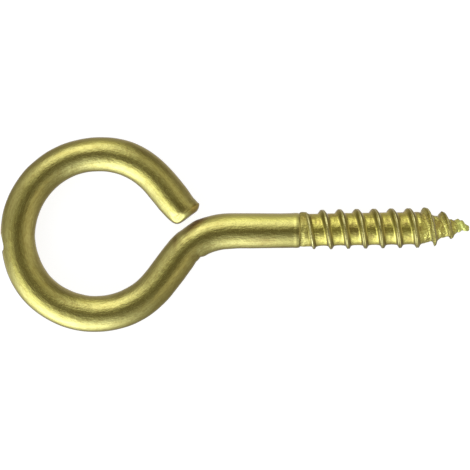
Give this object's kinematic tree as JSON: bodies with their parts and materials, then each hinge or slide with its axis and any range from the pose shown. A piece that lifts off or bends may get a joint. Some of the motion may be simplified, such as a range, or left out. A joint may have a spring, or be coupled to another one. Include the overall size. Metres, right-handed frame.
{
  "type": "screw eye",
  "caption": "Bent-wire screw eye with a nearly closed round eye, a plain shank and a rolled wood-screw thread ending in a gimlet point.",
  "frame": {"origin": "centre of the eye, on the shank's axis and in the plane of the bent wire", "axes": "+X along the shank to the screw point, +Z square to the plane of the eye, so the part lies on its -Z side"},
  "size_m": [0.0542, 0.0225, 0.0046],
  "materials": {
    "wire": "thin yellow brass-like plating on drawn steel wire, satin, with olive tones, fine lengthwise drawing lines, brown tarnish at the bends and a rough rolled thread"
  },
  "bodies": {
    "root": {"screw_eye": "wire"}
  },
  "joints": []
}
